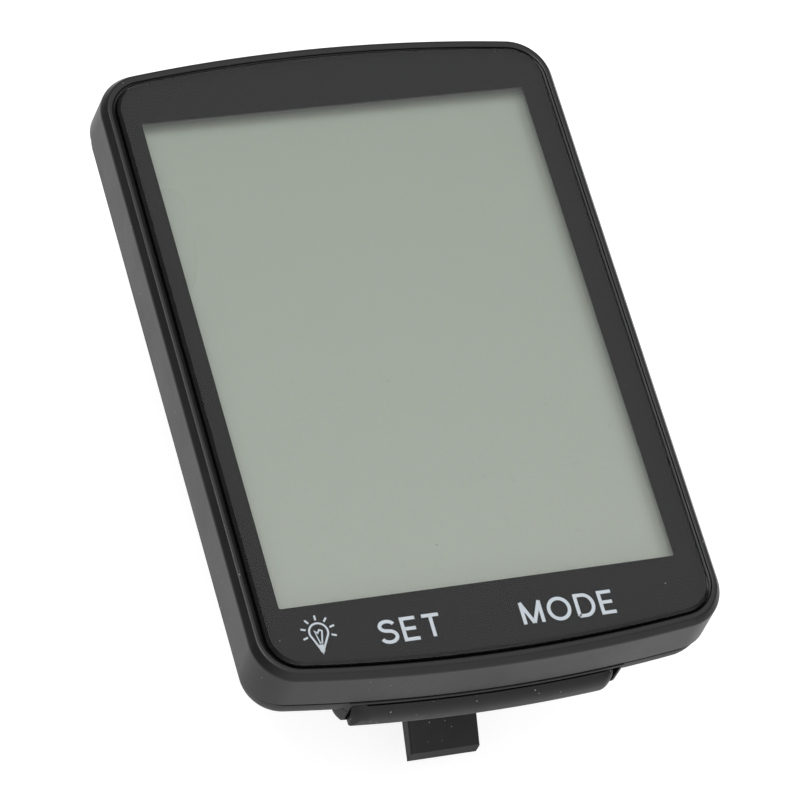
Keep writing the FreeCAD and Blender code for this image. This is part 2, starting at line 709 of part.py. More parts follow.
def leverSpring():
    """Leaf spring under the lever: a steel strip bent back over itself, rising to the arm."""
    footZ = springFloorZ + springStrip / 2
    bendZ = footZ + springBendR
    lean = math.radians(60)
    half = lean / 2 - math.pi / 4
    middle = vec(0, springY + springBendR * math.cos(half), bendZ + springBendR * math.sin(half))
    bendEnd = vec(0, springY + springBendR * math.cos(lean), bendZ + springBendR * math.sin(lean))
    tipZ = leverArmLowZ - springStrip / 2 * math.sin(lean)
    reach = (tipZ - bendEnd.z) / math.cos(lean)
    tip = bendEnd + vec(0, -math.sin(lean), math.cos(lean)) * reach
    foot = vec(0, springY - springFoot, footZ)
    bendStart = vec(0, springY, footZ)
    path = Part.Wire([Part.makeLine(foot, bendStart),
                      Part.Arc(bendStart, middle, bendEnd).toShape(),
                      Part.makeLine(bendEnd, tip)])
    low, high = springFloorZ, springFloorZ + springStrip
    section = Part.makePolygon([vec(-springHalf, foot.y, low), vec(springHalf, foot.y, low),
                                vec(springHalf, foot.y, high), vec(-springHalf, foot.y, high),
                                vec(-springHalf, foot.y, low)])
    return path.makePipeShell([section], True, False)


pieces = {
    "front_shell": frontShell,
    "lens": lens,
    "mask_print": maskPrint,
    "legend_print": legendPrint,
    "lens_tape": lensTape,
    "lcd_panel": lcdPanel,
    "lcd_tray": lcdTray,
    "backlight_plate": backlightPlate,
    "backlight_leds": backlightLeds,
    "zebra_strip": zebraStrip,
    "main_board": mainBoard,
    "controller_chip": controllerChip,
    "crystal_can": crystalCan,
    "receiver_coil": receiverCoil,
    "set_switch": lambda: tactSwitch(-1),
    "mode_switch": lambda: tactSwitch(1),
    "key_membrane": keyMembrane,
    "rocker_key": rockerKey,
    "key_pin": keyPin,
    "key_frame": keyFrame,
    "frame_screws": frameScrews,
    "coin_cell": coinCell,
    "battery_contact": batteryContact,
    "side_contact": sideContact,
    "battery_cover": batteryCover,
    "cover_seal": coverSeal,
    "rear_shell": rearShell,
    "shell_seal": shellSeal,
    "shell_screws": shellScrews,
    "bracket_base": bracketBase,
    "bar_pad": barPad,
    "release_lever": releaseLever,
    "lever_pin": leverPin,
    "lever_spring": leverSpring,
}

os.makedirs("parts", exist_ok=True)
for name, make in pieces.items():
    shape = make()
    shape.exportStep("parts/" + name + ".step")
    bounds = shape.BoundBox
    print(f"{name:18s} solids {len(shape.Solids)} valid {shape.isValid()} volume {shape.Volume:9.2f}",
          f"x {bounds.XMin:7.2f} {bounds.XMax:7.2f} y {bounds.YMin:7.2f} {bounds.YMax:7.2f}",
          f"z {bounds.ZMin:6.2f} {bounds.ZMax:6.2f}")
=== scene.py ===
import math
import bpy
import bmesh
from mathutils import Matrix, Vector


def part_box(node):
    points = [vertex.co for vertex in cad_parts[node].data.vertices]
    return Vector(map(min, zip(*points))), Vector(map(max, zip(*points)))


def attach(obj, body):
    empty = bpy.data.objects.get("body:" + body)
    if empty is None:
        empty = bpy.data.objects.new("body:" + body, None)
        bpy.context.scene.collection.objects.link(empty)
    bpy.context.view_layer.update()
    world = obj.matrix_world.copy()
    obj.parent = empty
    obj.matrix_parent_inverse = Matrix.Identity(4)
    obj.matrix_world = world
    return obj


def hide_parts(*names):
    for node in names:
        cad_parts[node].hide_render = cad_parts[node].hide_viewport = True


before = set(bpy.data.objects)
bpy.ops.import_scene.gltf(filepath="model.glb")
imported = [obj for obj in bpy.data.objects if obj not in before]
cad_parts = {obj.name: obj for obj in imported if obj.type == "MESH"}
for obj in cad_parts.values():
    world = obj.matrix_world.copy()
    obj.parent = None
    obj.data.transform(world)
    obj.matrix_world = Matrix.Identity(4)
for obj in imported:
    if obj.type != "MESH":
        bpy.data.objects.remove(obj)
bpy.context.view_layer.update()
print("frame loaded,", len(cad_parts), "nodes")

mm = 0.001


def join(tree, source, target):
    tree.links.new(source, target)


def feed(tree, value, socket):
    # a number or a colour is set on the socket, anything else is linked to it
    if isinstance(value, (int, float)):
        socket.default_value = value
    elif isinstance(value, tuple):
        socket.default_value = (*value, 1.0)
    else:
        join(tree, value, socket)


def maths(tree, operation, *values, clamp=False):
    node = tree.nodes.new("ShaderNodeMath")
    node.operation = operation
    node.use_clamp = clamp
    for value, socket in zip(values, node.inputs):
        feed(tree, value, socket)
    return node.outputs[0]


def mapRange(tree, value, low, high, toLow=0.0, toHigh=1.0, smooth=False):
    node = tree.nodes.new("ShaderNodeMapRange")
    node.interpolation_type = "SMOOTHSTEP" if smooth else "LINEAR"
    settings = {"Value": value, "From Min": low, "From Max": high, "To Min": toLow, "To Max": toHigh}
    for label, setting in settings.items():
        feed(tree, setting, node.inputs[label])
    return node.outputs["Result"]


def between(tree, share, low, high):
    return mapRange(tree, share, 0.0, 1.0, low, high)


def mixColour(tree, factor, a, b):
    node = tree.nodes.new("ShaderNodeMix")
    node.data_type = "RGBA"
    for index, value in ((0, factor), (6, a), (7, b)):
        feed(tree, value, node.inputs[index])
    return node.outputs[2]


def objectPoint(tree):
    return tree.nodes.new("ShaderNodeTexCoord").outputs["Object"]


def axesOf(tree, vector):
    split = tree.nodes.new("ShaderNodeSeparateXYZ")
    join(tree, vector, split.inputs[0])
    return split.outputs


def noise(tree, scale, detail=2.0, roughness=0.5, vector=None):
    node = tree.nodes.new("ShaderNodeTexNoise")
    node.inputs["Detail"].default_value = detail
    node.inputs["Roughness"].default_value = roughness
    feed(tree, scale, node.inputs["Scale"])
    join(tree, objectPoint(tree) if vector is None else vector, node.inputs["Vector"])
    return node.outputs["Fac"]


def bumpInto(tree, shader, height, depth, strength=1.0, under=None):
    # depth in millimetres; under is a normal that the bump is laid on
    bump = tree.nodes.new("ShaderNodeBump")
    bump.inputs["Strength"].default_value = strength
    bump.inputs["Distance"].default_value = depth * mm
    join(tree, height, bump.inputs["Height"])
    if under is not None:
        join(tree, under, bump.inputs["Normal"])
    join(tree, bump.outputs["Normal"], shader.inputs["Normal"])


def newGroup(name, inputs, outputs):
    # an effect with named sockets, to be placed in several materials
    group = bpy.data.node_groups.new(name, "ShaderNodeTree")
    for label, value in inputs.items():
        socket = group.interface.new_socket(label, in_out="INPUT", socket_type="NodeSocketFloat")
        socket.default_value = value
    for label, kind in outputs.items():
        group.interface.new_socket(label, in_out="OUTPUT", socket_type="NodeSocket" + kind)
    start = group.nodes.new("NodeGroupInput")
    end = group.nodes.new("NodeGroupOutput")
    return group, start.outputs, end.inputs


effectLook = {
    "fineDetail": 3.0, "fineRough": 0.6, "fineShare": 0.85, "speckLeast": 0.35, "speckFade": 3.0,
    "edgeRadius": 0.12, "edgeSamples": 6, "edgeStart": 0.995, "edgeFull": 0.80,
    "smearDetail": 4.0, "smearRough": 0.65, "smearStart": 0.35, "smearFull": 0.7,
}


def buildMouldedGrain(look):
    # fine spark-eroded skin of moulded plastic, with slow waviness under it
    group, given, out = newGroup("mouldedGrain", {"Grain Size mm": 0.18, "Waviness mm": 6.0},
                                 {"Height": "Float", "Mottle": "Float"})
    fineScale = maths(group, "DIVIDE", 1 / mm, given["Grain Size mm"])
    slowScale = maths(group, "DIVIDE", 1 / mm, given["Waviness mm"])
    fine = noise(group, fineScale, look["fineDetail"], look["fineRough"])
    slow = noise(group, slowScale)
    slowPart = maths(group, "MULTIPLY", slow, 1 - look["fineShare"])
    join(group, maths(group, "MULTIPLY_ADD", fine, look["fineShare"], slowPart), out["Height"])
    join(group, slow, out["Mottle"])
    return group


def buildDustSpecks(look):
    # light specks that settled on the surface, in a share of the cells and of uneven size
    group, given, out = newGroup("dustSpecks", {"Spacing mm": 1.2, "Speck mm": 0.06, "Share": 0.2},
                                 {"Mask": "Float"})
    cells = group.nodes.new("ShaderNodeTexVoronoi")
    join(group, objectPoint(group), cells.inputs["Vector"])
    join(group, maths(group, "DIVIDE", 1 / mm, given["Spacing mm"]), cells.inputs["Scale"])
    draw = group.nodes.new("ShaderNodeSeparateColor")
    join(group, cells.outputs["Color"], draw.inputs["Color"])
    chosen = maths(group, "LESS_THAN", draw.outputs[0], given["Share"])
    size = maths(group, "DIVIDE", given["Speck mm"], given["Spacing mm"])
    size = maths(group, "MULTIPLY", size, maths(group, "ADD", look["speckLeast"], draw.outputs[1]))
    near = maths(group, "SUBTRACT", 1.0, maths(group, "DIVIDE", cells.outputs["Distance"], size), clamp=True)
    near = maths(group, "MULTIPLY", near, look["speckFade"], clamp=True)
    join(group, maths(group, "MULTIPLY", near, chosen), out["Mask"])
    return group


def buildSoftEdges(look):
    # rounds sharp edges in the shading and gives a mask of where they are
    group, given, out = newGroup("softEdges", {}, {"Normal": "Vector", "Mask": "Float"})
    rounder = group.nodes.new("ShaderNodeBevel")
    rounder.samples = look["edgeSamples"]
    rounder.inputs["Radius"].default_value = look["edgeRadius"] * mm
    shape = group.nodes.new("ShaderNodeNewGeometry")
    dot = group.nodes.new("ShaderNodeVectorMath")
    dot.operation = "DOT_PRODUCT"
    join(group, rounder.outputs["Normal"], dot.inputs[0])
    join(group, shape.outputs["Normal"], dot.inputs[1])
    join(group, mapRange(group, dot.outputs["Value"], look["edgeStart"], look["edgeFull"]), out["Mask"])
    join(group, rounder.outputs["Normal"], out["Normal"])
    return group


def buildHandling(look):
    # faint smears and rubbed places from being held
    group, given, out = newGroup("handling", {"Size mm": 9.0}, {"Smear": "Float"})
    scale = maths(group, "DIVIDE", 1 / mm, given["Size mm"])
    smear = noise(group, scale, look["smearDetail"], look["smearRough"])
    join(group, mapRange(group, smear, look["smearStart"], look["smearFull"], smooth=True), out["Smear"])
    return group


def buildStripes():
    # parallel bands; Along is the place on the axis that they cross, in metres
    group, given, out = newGroup("stripes", {"Along": 0.0, "Pitch mm": 1.0, "Sharpness": 1.0},
                                 {"Mask": "Float"})
    turning = maths(group, "DIVIDE", 2 * math.pi / mm, given["Pitch mm"])
    wave = maths(group, "SINE", maths(group, "MULTIPLY", given["Along"], turning))
    join(group, maths(group, "MULTIPLY_ADD", wave, given["Sharpness"], 0.5, clamp=True), out["Mask"])
    return group


effects = {
    "grain": buildMouldedGrain(effectLook),
    "dust": buildDustSpecks(effectLook),
    "edges": buildSoftEdges(effectLook),
    "handling": buildHandling(effectLook),
    "stripes": buildStripes(),
}
print("effects built")


def place(tree, effect, values):
    # puts an effect's group in a material with that material's own values
    node = tree.nodes.new("ShaderNodeGroup")
    node.node_tree = effects[effect]
    for label, value in values.items():
        feed(tree, value, node.inputs[label])
    return node.outputs


def placeDust(tree, look):
    return place(tree, "dust", {"Spacing mm": look["dustSpacing"], "Speck mm": look["dustSize"],
                                "Share": look["dustShare"]})["Mask"]


def placeStripes(tree, axis, pitch, sharpness):
    along = axesOf(tree, objectPoint(tree))[axis]
    return place(tree, "stripes", {"Along": along, "Pitch mm": pitch, "Sharpness": sharpness})["Mask"]


def newMaterial(name):
    material = bpy.data.materials.new(name)
    material.use_nodes = True
    tree = material.node_tree
    return material, tree, tree.nodes["Principled BSDF"]


def mouldedPlastic(name, look):
    # black or coloured moulded plastic: grain, a painted highlight along sharp edges, smears and dust
    material, tree, shader = newMaterial(name)
    grain = place(tree, "grain", {"Grain Size mm": look["grainSize"], "Waviness mm": look["waviness"]})
    dust = placeDust(tree, look)
    edges = place(tree, "edges", {})
    smear = place(tree, "handling", {"Size mm": look["smearSize"]})["Smear"]
    colour = mixColour(tree, grain["Mottle"], look["colourLow"], look["colourHigh"])
    # painted highlight: sharp edges are made lighter where the rounded normal turns away
    colour = mixColour(tree, maths(tree, "MULTIPLY", edges["Mask"], look["edgeHighlightShare"]), colour, look["paintedEdgeHighlight"])
    join(tree, mixColour(tree, dust, colour, look["dustColour"]), shader.inputs["Base Color"])
    rough = between(tree, smear, look["roughLow"], look["roughHigh"])
    join(tree, between(tree, dust, rough, look["dustRough"]), shader.inputs["Roughness"])
    bumpInto(tree, shader, grain["Height"], look["bumpDepth"], look["bumpStrength"], edges["Normal"])
    shader.inputs["IOR"].default_value = look["ior"]
    shader.inputs["Specular IOR Level"].default_value = look["shine"]
    return material


def clearAcrylic(look):
    # polished window plastic with dust on it
    material, tree, shader = newMaterial("clearAcrylic")
    shader.inputs["Base Color"].default_value = (*look["tint"], 1.0)
    shader.inputs["Transmission Weight"].default_value = 1.0
    shader.inputs["IOR"].default_value = look["ior"]
    shader.inputs["Roughness"].default_value = look["rough"]
    powder = tree.nodes.new("ShaderNodeBsdfDiffuse")
    powder.inputs["Color"].default_value = (*look["dustColour"], 1.0)
    dusty = tree.nodes.new("ShaderNodeMixShader")
    join(tree, placeDust(tree, look), dusty.inputs[0])
    join(tree, shader.outputs[0], dusty.inputs[1])
    join(tree, powder.outputs[0], dusty.inputs[2])
    # light for what lies under the lens passes straight through
    path = tree.nodes.new("ShaderNodeLightPath")
    through = tree.nodes.new("ShaderNodeBsdfTransparent")
    through.inputs["Color"].default_value = (*look["shade"], 1.0)
    isLight = maths(tree, "MAXIMUM", path.outputs["Is Shadow Ray"], path.outputs["Is Diffuse Ray"])
    mix = tree.nodes.new("ShaderNodeMixShader")
    join(tree, isLight, mix.inputs[0])
    join(tree, dusty.outputs[0], mix.inputs[1])
    join(tree, through.outputs[0], mix.inputs[2])
    join(tree, mix.outputs[0], tree.nodes["Material Output"].inputs["Surface"])
    return material


def workedMetal(name, look):
    # rolled, turned or stamped metal: fine lines one way, and dull spots
    material, tree, shader = newMaterial(name)
    stretch = tree.nodes.new("ShaderNodeMapping")
    stretch.inputs["Scale"].default_value = look["stretch"]
    join(tree, objectPoint(tree), stretch.inputs["Vector"])
    lines = noise(tree, look["lineScale"], look["lineDetail"], look["lineRough"], stretch.outputs[0])
    smear = place(tree, "handling", {"Size mm": look["smearSize"]})["Smear"]
    colour = mixColour(tree, lines, look["colourLow"], look["colourHigh"])
    join(tree, mixColour(tree, smear, colour, look["dullColour"]), shader.inputs["Base Color"])
    rough = mapRange(tree, lines, look["lineStart"], look["lineFull"], look["roughLow"], look["roughHigh"])
    join(tree, rough, shader.inputs["Roughness"])
    shader.inputs["Metallic"].default_value = 1.0
    bumpInto(tree, shader, lines, look["bumpDepth"], look["bumpStrength"])
    return material


def stripedFinish(name, look):
    # contact strip of thin carbon layers, or a coil's wire: bands across one axis
    material, tree, shader = newMaterial(name)
    bands = placeStripes(tree, look["axis"], look["pitch"], look["sharpness"])
    grain = place(tree, "grain", {"Grain Size mm": look["grainSize"]})
    colour = mixColour(tree, bands, look["colourLow"], look["colourHigh"])
    dull = maths(tree, "MULTIPLY", grain["Mottle"], look["dullShare"])
    join(tree, mixColour(tree, dull, colour, look["dullColour"]), shader.inputs["Base Color"])
    rough = between(tree, grain["Height"], look["roughLow"], look["roughHigh"])
    join(tree, rough, shader.inputs["Roughness"])
    bumpInto(tree, shader, bands, look["depth"])
    return material


def boardFinish(name, look):
    # solder mask over copper tracks, with bare pads
    material, tree, shader = newMaterial(name)
    point = objectPoint(tree)
    tracks = tree.nodes.new("ShaderNodeTexBrick")
    tracks.inputs["Scale"].default_value = 1 / (look["trackPitch"] * mm)
    tracks.inputs["Mortar Size"].default_value = look["trackGap"]
    tracks.inputs["Brick Width"].default_value = look["trackLength"]
    tracks.inputs["Row Height"].default_value = look["trackRow"]
    join(tree, point, tracks.inputs["Vector"])
    cells = tree.nodes.new("ShaderNodeTexVoronoi")
    cells.inputs["Scale"].default_value = 1 / (look["padSpacing"] * mm)
    join(tree, point, cells.inputs["Vector"])
    pads = maths(tree, "LESS_THAN", cells.outputs["Distance"], look["padShare"])
    colour = mixColour(tree, tracks.outputs["Fac"], look["mask"], look["maskOverCopper"])
    join(tree, mixColour(tree, pads, colour, look["pad"]), shader.inputs["Base Color"])
    join(tree, pads, shader.inputs["Metallic"])
    join(tree, between(tree, pads, look["maskRough"], look["padRough"]), shader.inputs["Roughness"])
    bumpInto(tree, shader, maths(tree, "ADD", tracks.outputs["Fac"], pads), look["depth"])
    return material


def displayFinish(name, look):
    # polariser over liquid crystal: grey green, with the faint grid of its clear electrodes, and painted
    # shade that darkens it towards the top
    material, tree, shader = newMaterial(name)
    slow = noise(tree, 1 / (look["cloudSize"] * mm))
    along = axesOf(tree, objectPoint(tree))["Y"]
    # painted shade: the colour darkens from the foot towards the top edge
    topShade = mapRange(tree, along, look["topEnd"] * mm, look["lowEnd"] * mm)
    grid = maths(tree, "MAXIMUM", *[placeStripes(tree, axis, look["gridPitch"], look["gridSharpness"])
                                    for axis in (0, 1)])
    colour = mixColour(tree, topShade, look["shadedTopColour"], look["colourFoot"])
    cloud = maths(tree, "MULTIPLY", slow, look["cloudStrength"])
    colour = mixColour(tree, cloud, colour, look["cloudColour"])
    faint = maths(tree, "MULTIPLY", grid, look["gridStrength"])
    join(tree, mixColour(tree, faint, colour, look["gridColour"]), shader.inputs["Base Color"])
    spread = look["roughHigh"] - look["roughLow"]
    join(tree, maths(tree, "MULTIPLY_ADD", slow, spread, look["roughLow"]), shader.inputs["Roughness"])
    return material


# the edge colour and its share give a painted highlight laid on sharp edges
shellLook = {
    "grainSize": 0.16, "waviness": 7.0, "bumpStrength": 0.35, "bumpDepth": 0.012,
    "colourLow": (0.006, 0.006, 0.0066), "colourHigh": (0.0085, 0.0085, 0.0092),
    "paintedEdgeHighlight": (0.035, 0.035, 0.037), "edgeHighlightShare": 0.4,
    "dustColour": (0.45, 0.45, 0.45), "dustSpacing": 1.1, "dustSize": 0.07, "dustShare": 0.3,
    "dustRough": 0.9,
    "smearSize": 11.0, "roughLow": 0.27, "roughHigh": 0.36, "ior": 1.5, "shine": 0.5,
}
rearLook = {**shellLook, "grainSize": 0.24, "bumpStrength": 0.7, "roughLow": 0.45, "roughHigh": 0.6,
            "colourLow": (0.011, 0.011, 0.012), "colourHigh": (0.015, 0.015, 0.016)}
keyLook = {**shellLook, "dustShare": 0.7, "dustSpacing": 0.8, "roughLow": 0.36, "roughHigh": 0.48,
           "colourLow": (0.008, 0.008, 0.0088), "colourHigh": (0.012, 0.012, 0.0128)}
bracketLook = {**shellLook, "dustShare": 0.7, "dustSpacing": 0.8, "roughLow": 0.42, "roughHigh": 0.6,
               "colourLow": (0.009, 0.009, 0.0098), "colourHigh": (0.015, 0.015, 0.016)}
rubberLook = {**shellLook, "grainSize": 0.3, "bumpStrength": 0.8, "roughLow": 0.7, "roughHigh": 0.85,
              "colourLow": (0.018, 0.018, 0.018), "colourHigh": (0.026, 0.026, 0.026), "dustShare": 0.2}
foamLook = {**rubberLook, "grainSize": 0.12, "bumpStrength": 1.0}
resinLook = {**shellLook, "grainSize": 0.6, "waviness": 4.0, "bumpStrength": 0.25, "roughLow": 0.12,
             "roughHigh": 0.3}
switchLook = {**resinLook, "grainSize": 0.2}
whiteLook = {**shellLook, "colourLow": (0.7, 0.7, 0.69), "colourHigh": (0.78, 0.78, 0.77),
             "paintedEdgeHighlight": (0.8, 0.8, 0.8), "dustColour": (0.3, 0.3, 0.3)}
ledLook = {**whiteLook, "colourLow": (0.75, 0.72, 0.5), "colourHigh": (0.85, 0.8, 0.55), "roughLow": 0.25}
guideLook = {**whiteLook, "grainSize": 0.8, "colourLow": (0.8, 0.84, 0.86), "colourHigh": (0.86, 0.9, 0.92)}
siliconeLook = {**shellLook, "colourLow": (0.16, 0.17, 0.18), "colourHigh": (0.2, 0.21, 0.22),
                "paintedEdgeHighlight": (0.2, 0.21, 0.22), "grainSize": 0.4, "roughLow": 0.3, "roughHigh": 0.5}
sealLook = {**siliconeLook, "colourLow": (0.03, 0.03, 0.032), "colourHigh": (0.04, 0.04, 0.043)}
inkLook = {**shellLook, "colourLow": (0.006, 0.006, 0.0063), "colourHigh": (0.008, 0.008, 0.0084),
           "edgeHighlightShare": 0.0, "dustShare": 0.0, "roughLow": 0.5, "roughHigh": 0.6, "bumpStrength": 0.05,
           "shine": 0.0}
legendLook = {**inkLook, "colourLow": (0.62, 0.67, 0.74), "colourHigh": (0.7, 0.75, 0.82)}
steelLook = {
    "stretch": (1.0, 8.0, 8.0), "lineScale": 4000.0, "lineDetail": 4.0, "lineRough": 0.6,
    "lineStart": 0.3, "lineFull": 0.7, "smearSize": 4.0, "bumpStrength": 0.3, "bumpDepth": 0.01,
    "colourLow": (0.52, 0.52, 0.53), "colourHigh": (0.66, 0.66, 0.67), "dullColour": (0.5, 0.5, 0.5),
    "roughLow": 0.2, "roughHigh": 0.38,
}
cellLook = {**steelLook, "stretch": (1.0, 1.0, 6.0), "lineScale": 900.0, "colourLow": (0.62, 0.62, 0.61),
            "colourHigh": (0.74, 0.74, 0.73), "roughLow": 0.16, "roughHigh": 0.3}
screwLook = {**steelLook, "colourLow": (0.2, 0.2, 0.21), "colourHigh": (0.3, 0.3, 0.31),
             "dullColour": (0.22, 0.22, 0.22)}
tinLook = {**steelLook, "colourLow": (0.68, 0.68, 0.68), "colourHigh": (0.78, 0.78, 0.77)}
zebraLook = {
    "axis": 0, "pitch": 0.18, "sharpness": 4.0, "grainSize": 0.12, "depth": 0.01,
    "colourLow": (0.02, 0.02, 0.02), "colourHigh": (0.5, 0.25, 0.3), "dullColour": (0.2, 0.15, 0.15),
    "dullShare": 0.3, "roughLow": 0.5, "roughHigh": 0.7,
}
windingLook = {
    "axis": 1, "pitch": 0.12, "sharpness": 1.0, "grainSize": 0.12, "depth": 0.05,
    "colourLow": (0.25, 0.09, 0.04), "colourHigh": (0.72, 0.33, 0.16), "dullColour": (0.3, 0.12, 0.06),
    "dullShare": 0.3, "roughLow": 0.25, "roughHigh": 0.4,
}
laminateLook = {
    "trackPitch": 1.1, "trackGap": 0.07, "trackLength": 3.4, "trackRow": 0.5,
    "padSpacing": 3.2, "padShare": 0.16,
    "mask": (0.01, 0.09, 0.035), "maskOverCopper": (0.02, 0.16, 0.06), "pad": (0.8, 0.62, 0.3),
    "maskRough": 0.35, "padRough": 0.28, "depth": 0.03,
}
glassLook = {
    "cloudSize": 30.0, "cloudStrength": 0.12, "cloudColour": (0.34, 0.385, 0.33),
    "gridPitch": 0.9, "gridSharpness": 1.0, "gridStrength": 0.06, "gridColour": (0.2, 0.24, 0.19),
    # the top colour is darker than the foot colour: painted shade
    "shadedTopColour": (0.313, 0.349, 0.3), "colourFoot": (0.395, 0.425, 0.375),
    "topEnd": 36.0, "lowEnd": -34.0,
    "roughLow": 0.25, "roughHigh": 0.32,
}
acrylicLook = {
    "ior": 1.49, "rough": 0.02, "tint": (0.97, 0.98, 0.97), "shade": (0.94, 0.95, 0.94),
    "dustColour": (0.3, 0.3, 0.3), "dustSpacing": 1.3, "dustSize": 0.08, "dustShare": 0.14,
}

finishBySlot = {
    "shell_plastic": mouldedPlastic("rearPlastic", rearLook),
    "key_plastic": mouldedPlastic("keyPlastic", keyLook),
    "bracket_plastic": mouldedPlastic("bracketPlastic", bracketLook),
    "pad_rubber": mouldedPlastic("padRubber", rubberLook),
    "black_foam": mouldedPlastic("blackFoam", foamLook),
    "chip_resin": mouldedPlastic("chipResin", resinLook),
    "white_moulding": mouldedPlastic("whiteMoulding", whiteLook),
    "led_body": mouldedPlastic("ledBody", ledLook),
    "light_guide": mouldedPlastic("lightGuide", guideLook),
    "silicone": mouldedPlastic("silicone", siliconeLook),
    "seal_rubber": mouldedPlastic("sealRubber", sealLook),
    "switch_body": mouldedPlastic("switchBody", switchLook),
    "mask_ink": mouldedPlastic("maskInk", inkLook),
    "legend_ink": mouldedPlastic("legendInk", legendLook),
    "lcd_glass": displayFinish("displayGlass", glassLook),
    "lens_acrylic": clearAcrylic(acrylicLook),
    "steel": workedMetal("steel", steelLook),
    "cell_steel": workedMetal("cellSteel", cellLook),
    "screw_steel": workedMetal("screwSteel", screwLook),
    "tin_can": workedMetal("tinCan", tinLook),
    "zebra_rubber": stripedFinish("zebraRubber", zebraLook),
    "ferrite_winding": stripedFinish("ferriteWinding", windingLook),
    "board_laminate": boardFinish("boardLaminate", laminateLook),
}
frontPlastic = mouldedPlastic("frontPlastic", shellLook)
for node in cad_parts.values():
    for slot in node.material_slots:
        if slot.name in finishBySlot:
            slot.material = finishBySlot[slot.name]
print("finishes set")

# how finely curves are divided
steps = {"side": 24, "corner": 14, "bow": 44, "edge": 4, "pipe": 32, "arc": 18}
mostCut = 0.45  # the part of a side that one rounding may take
mostMitre = 1.6  # how far a stroke's outer corner may stand out, in half widths
creaseAngle = 35.0  # edges sharper than this stay sharp, in degrees


def bowedOutline(half, top, bottom, corner, bow, z):
    # closed outline with straight sides, slightly bowed ends and tangent corners, in millimetres
    cornerX = half - corner
    reach = math.sqrt((bow - corner) ** 2 - cornerX ** 2)
    tangent = math.atan2(reach, cornerX)
    cornerY = {1: top - bow + reach, -1: bottom + bow - reach}

    def cornerPoint(flank, side, angle):
        return flank * (cornerX + corner * math.cos(angle)), cornerY[side] + side * corner * math.sin(angle)

    points = []
    for side, end in ((1, top), (-1, bottom)):
        for step in range(steps["side"]):
            share = step / steps["side"]
            points.append((side * half, cornerY[-side] + (cornerY[side] - cornerY[-side]) * share))
        for step in range(steps["corner"]):
            points.append(cornerPoint(side, side, tangent * step / steps["corner"]))
        for step in range(steps["bow"]):
            angle = tangent + (math.pi - 2 * tangent) * step / steps["bow"]
            points.append((side * bow * math.cos(angle), end - side * bow + side * bow * math.sin(angle)))
        for step in range(steps["corner"]):
            points.append(cornerPoint(-side, side, tangent * (1 - step / steps["corner"])))
    return [(x * mm, y * mm, z * mm) for x, y in points]


def roundedStations(stations, closed):
    # rounds each station's place in the section by its last number, in millimetres
    count = len(stations)
    result = []
    for index, (*here, radius) in enumerate(stations):
        if radius == 0 or (not closed and index in (0, count - 1)):
            result.append(here)
            continue
        before, after = stations[index - 1][:-1], stations[(index + 1) % count][:-1]
        cut = []
        for other in (before, after):
            reach = math.hypot(other[0] - here[0], other[5] - here[5])
            share = min(mostCut, radius / reach)
            cut.append([h + (o - h) * share for h, o in zip(here, other)])
        for step in range(steps["edge"] + 1):
            t = step / steps["edge"]
            result.append([(1 - t) ** 2 * a + 2 * t * (1 - t) * h + t * t * b
                           for a, h, b in zip(cut[0], here, cut[1])])
    return result


def skin(loops, closed=True):
    # faces from loop to loop; an open skin gets a flat face at each end
    size = len(loops[0])
    count = len(loops)
    faces = []
    for index in range(count if closed else count - 1):
        here, after = index * size, (index + 1) % count * size
        for step in range(size):
            right = (step + 1) % size
            faces.append((here + step, here + right, after + right, after + step))
    if not closed:
        faces.append(tuple(range(size - 1, -1, -1)))
        faces.append(tuple(range((count - 1) * size, count * size)))
    return [point for loop in loops for point in loop], faces


def outlineSolid(stations, closed=True):
    return skin([bowedOutline(*loop) for loop in roundedStations(stations, closed)], closed)


def pipe(x, y, outer, inner, low, high):
    # upright tube, in millimetres
    turns = [2 * math.pi * step / steps["pipe"] for step in range(steps["pipe"])]
    loops = []
    for radius, z in ((outer, low), (outer, high), (inner, high), (inner, low)):
        loops.append([((x + radius * math.cos(turn)) * mm, (y + radius * math.sin(turn)) * mm, z * mm)
                      for turn in turns])
    return skin(loops)


def addTo(solid, extra):
    vertices, faces = solid
    start = len(vertices)
    vertices.extend(extra[0])
    faces.extend(tuple(start + i for i in face) for face in extra[1])


def meshFrom(solid, name, slotName, finish=None, smooth=True):
    vertices, faces = solid
    mesh = bpy.data.meshes.new(name)
    mesh.from_pydata(vertices, [], faces)
    builder = bmesh.new()
    builder.from_mesh(mesh)
    bmesh.ops.recalc_face_normals(builder, faces=builder.faces)
    builder.to_mesh(mesh)
    builder.free()
    for face in mesh.polygons:
        face.use_smooth = smooth
    mesh.set_sharp_from_angle(angle=math.radians(creaseAngle))
    mesh.materials.append(finish or finishBySlot[slotName])
    piece = bpy.data.objects.new(name, mesh)
    bpy.context.scene.collection.objects.link(piece)
    if smooth:
        steady = piece.modifiers.new("flatFaces", "WEIGHTED_NORMAL")
        steady.keep_sharp = True
    return piece


def edgesOf(node):
    # half width, top Y, bottom Y, lowest Z and highest Z of a CAD node, in millimetres
    low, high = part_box(node)
    return high.x / mm, high.y / mm, low.y / mm, low.z / mm, high.z / mm


def station(edges, outline, z, radius=0.0):
    # a loop inside a node's edges; the outline says how far in at the sides, the top and the bottom,
    # then the corner radius and the radius of the bowed ends
    side, topIn, lowIn, corner, bow = outline
    return edges[0] - side, edges[1] - topIn, edges[2] + lowIn, corner, bow, z, radius


def even(inwards, corner, bow):
    return inwards, inwards, inwards, corner, bow


